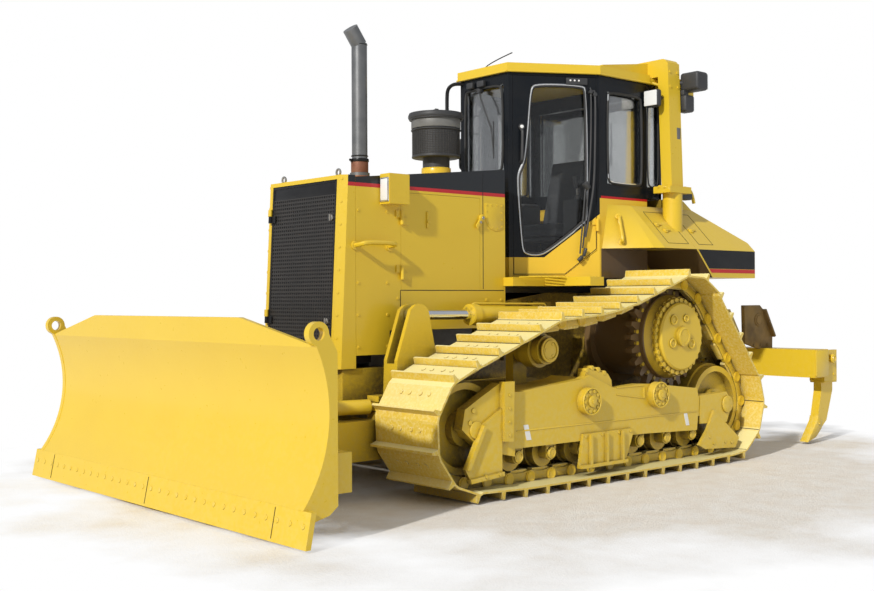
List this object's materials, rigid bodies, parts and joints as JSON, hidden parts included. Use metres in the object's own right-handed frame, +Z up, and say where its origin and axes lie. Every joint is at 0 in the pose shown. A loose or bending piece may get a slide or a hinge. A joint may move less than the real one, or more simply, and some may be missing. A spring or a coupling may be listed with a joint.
{
  "type": "bulldozer",
  "caption": "Tracked bulldozer with raised drive sprockets, an angling and tilting blade on a C-shaped push frame, a six-sided cab under a roll-over guard, and a rear ripper.",
  "frame": {"origin": "on the ground below the middle of the machine's bounding box", "axes": "+X forward, +Y to the machine's left, +Z up"},
  "size_m": [5.77, 3.22, 3.0212],
  "materials": {
    "yellow_paint": "satin",
    "black_paint": "satin",
    "track_steel": "worn",
    "worn_steel": "worn",
    "chrome": "polished",
    "glass": "clear",
    "black_plastic": "matte",
    "seat_cloth": "woven",
    "engine_iron": "painted"
  },
  "bodies": {
    "tractor": {"left_track": "track_steel", "right_track": "track_steel", "sprockets": "track_steel", "final_drives": "yellow_paint", "idlers": "yellow_paint", "rollers": "yellow_paint", "track_frames": "yellow_paint", "main_frame": "yellow_paint", "pivot_shafts": "worn_steel", "engine": "engine_iron", "hood": "yellow_paint", "radiator_guard": "yellow_paint", "radiator_core": "black_paint", "exhaust": "black_paint", "pre_cleaner": "black_plastic", "cab_shell": "yellow_paint", "cab_roof": "yellow_paint", "cab_glass": "glass", "seat": "seat_cloth", "controls": "black_plastic", "fenders": "yellow_paint", "fuel_tank": "yellow_paint", "rops": "yellow_paint", "steps": "yellow_paint", "cab_mount": "black_paint", "lamps": "black_plastic", "ripper_mount": "yellow_paint"},
    "push_frame": {"push_frame": "yellow_paint"},
    "blade_yoke": {"blade_yoke": "yellow_paint"},
    "blade": {"blade": "yellow_paint", "cutting_edges": "yellow_paint"},
    "lift_barrels": {"lift_barrels": "yellow_paint"},
    "lift_rods": {"lift_rods": "chrome"},
    "left_angle_barrel": {"left_angle_barrel": "yellow_paint"},
    "right_angle_barrel": {"right_angle_barrel": "yellow_paint"},
    "left_angle_rod": {"left_angle_rod": "chrome"},
    "right_angle_rod": {"right_angle_rod": "chrome"},
    "tilt_barrel": {"tilt_barrel": "yellow_paint"},
    "tilt_rod": {"tilt_rod": "chrome"},
    "ripper_lower_link": {"ripper_lower_link": "yellow_paint"},
    "ripper_upper_link": {"ripper_upper_link": "yellow_paint"},
    "ripper_beam": {"ripper_beam": "yellow_paint", "ripper_shanks": "yellow_paint"},
    "ripper_barrels": {"ripper_barrels": "yellow_paint"},
    "ripper_rods": {"ripper_rods": "chrome"},
    "left_cab_door": {"left_cab_door": "yellow_paint", "left_door_glass": "glass"},
    "right_cab_door": {"right_cab_door": "yellow_paint", "right_door_glass": "glass"},
    "left_engine_door": {"left_engine_door": "yellow_paint"},
    "right_engine_door": {"right_engine_door": "yellow_paint"},
    "grille_door": {"grille_door": "black_paint"}
  },
  "joints": [
    {"name": "lift", "type": "hinge", "parent": "tractor", "child": "push_frame", "pos_m": [0.325, 0, 0.541], "axis": [0, -1, 0], "range_deg": [-10, 24.5]},
    {"name": "angle", "type": "hinge", "parent": "push_frame", "child": "blade_yoke", "pos_m": [2.315, 0, 0.35], "axis": [0, 0, 1], "range_deg": [-25, 25]},
    {"name": "tilt", "type": "hinge", "parent": "blade_yoke", "child": "blade", "pos_m": [2.565, 0, 0.35], "axis": [1, 0, 0], "range_deg": [-7, 7]},
    {"name": "lift_barrel_turn", "type": "hinge", "parent": "tractor", "child": "lift_barrels", "pos_m": [0.055, 0, 1.085], "axis": [0, -1, 0], "range_deg": [-8.48, 20.49]},
    {"name": "lift_rod_slide", "type": "slide", "parent": "lift_barrels", "child": "lift_rods", "axis": [0.9999, 0, 0.0118], "range_m": [-0.2471, 0.102]},
    {"name": "left_angle_barrel_turn", "type": "hinge", "parent": "push_frame", "child": "left_angle_barrel", "pos_m": [1.605, 0.565, 0.545], "axis": [0, 0, 1], "range_deg": [-0.42, 0.42]},
    {"name": "left_angle_rod_slide", "type": "slide", "parent": "left_angle_barrel", "child": "left_angle_rod", "axis": [0.9794, -0.202, 0], "range_m": [-0.1756, 0.1756]},
    {"name": "right_angle_barrel_turn", "type": "hinge", "parent": "push_frame", "child": "right_angle_barrel", "pos_m": [1.605, -0.565, 0.545], "axis": [0, 0, 1], "range_deg": [-0.42, 0.42]},
    {"name": "right_angle_rod_slide", "type": "slide", "parent": "right_angle_barrel", "child": "right_angle_rod", "axis": [0.9794, 0.202, 0], "range_m": [-0.1756, 0.1756]},
    {"name": "tilt_barrel_turn", "type": "hinge", "parent": "blade_yoke", "child": "tilt_barrel", "pos_m": [2.455, -0.2, 0.76], "axis": [1, 0, 0], "range_deg": [-4.94, 4.94]},
    {"name": "tilt_rod_slide", "type": "slide", "parent": "tilt_barrel", "child": "tilt_rod", "axis": [0, 1, 0], "range_m": [-0.0521, 0.0521]},
    {"name": "ripper_lift", "type": "hinge", "parent": "tractor", "child": "ripper_lower_link", "pos_m": [-1.455, 0, 0.56], "axis": [0, 1, 0], "range_deg": [-25, 30]},
    {"name": "ripper_beam_turn", "type": "hinge", "parent": "ripper_lower_link", "child": "ripper_beam", "pos_m": [-2.385, 0, 0.6], "axis": [0, 1, 0], "range_deg": [-30, 25]},
    {"name": "ripper_upper_turn", "type": "hinge", "parent": "tractor", "child": "ripper_upper_link", "pos_m": [-1.455, 0, 1], "axis": [0, 1, 0], "range_deg": [-25, 30]},
    {"name": "ripper_barrel_turn", "type": "hinge", "parent": "tractor", "child": "ripper_barrels", "pos_m": [-1.435, 0, 1.2], "axis": [0, 1, 0], "range_deg": [-17.95, 21.5]},
    {"name": "ripper_rod_slide", "type": "slide", "parent": "ripper_barrels", "child": "ripper_rods", "axis": [-0.8638, 0, -0.5039], "range_m": [-0.2702, 0.2255]},
    {"name": "left_cab_door_swing", "type": "hinge", "parent": "tractor", "child": "left_cab_door", "pos_m": [-0.40981, 0.59164, 2.15], "axis": [0, 0, 1], "range_deg": [0, 85]},
    {"name": "right_cab_door_swing", "type": "hinge", "parent": "tractor", "child": "right_cab_door", "pos_m": [-0.40981, -0.59164, 2.15], "axis": [0, 0, -1], "range_deg": [0, 85]},
    {"name": "left_engine_door_swing", "type": "hinge", "parent": "tractor", "child": "left_engine_door", "pos_m": [1.302, 0.434, 1.5675], "axis": [0, 0, 1], "range_deg": [-90, 0]},
    {"name": "right_engine_door_swing", "type": "hinge", "parent": "tractor", "child": "right_engine_door", "pos_m": [1.302, -0.434, 1.5675], "axis": [0, 0, -1], "range_deg": [-90, 0]},
    {"name": "grille_door_swing", "type": "hinge", "parent": "tractor", "child": "grille_door", "pos_m": [1.79739, -0.352, 1.41823], "axis": [-0.0518, 0, 0.9987], "range_deg": [-100, 0]}
  ],
  "couplings": [
    {"joint": "lift_barrel_turn", "follows": "lift", "ratio": 0.82812},
    {"joint": "lift_rod_slide", "follows": "lift", "m_per_rad": -0.57324},
    {"joint": "left_angle_barrel_turn", "follows": "angle", "ratio": 0.008728},
    {"joint": "left_angle_rod_slide", "follows": "angle", "m_per_rad": -0.39787},
    {"joint": "right_angle_barrel_turn", "follows": "angle", "ratio": 0.008728},
    {"joint": "right_angle_rod_slide", "follows": "angle", "m_per_rad": 0.39787},
    {"joint": "tilt_barrel_turn", "follows": "tilt", "ratio": 0.67716},
    {"joint": "tilt_rod_slide", "follows": "tilt", "m_per_rad": -0.40995},
    {"joint": "ripper_beam_turn", "follows": "ripper_lift", "ratio": -1},
    {"joint": "ripper_upper_turn", "follows": "ripper_lift", "ratio": 1},
    {"joint": "ripper_barrel_turn", "follows": "ripper_lift", "ratio": 0.71002},
    {"joint": "ripper_rod_slide", "follows": "ripper_lift", "m_per_rad": -0.51225}
  ]
}
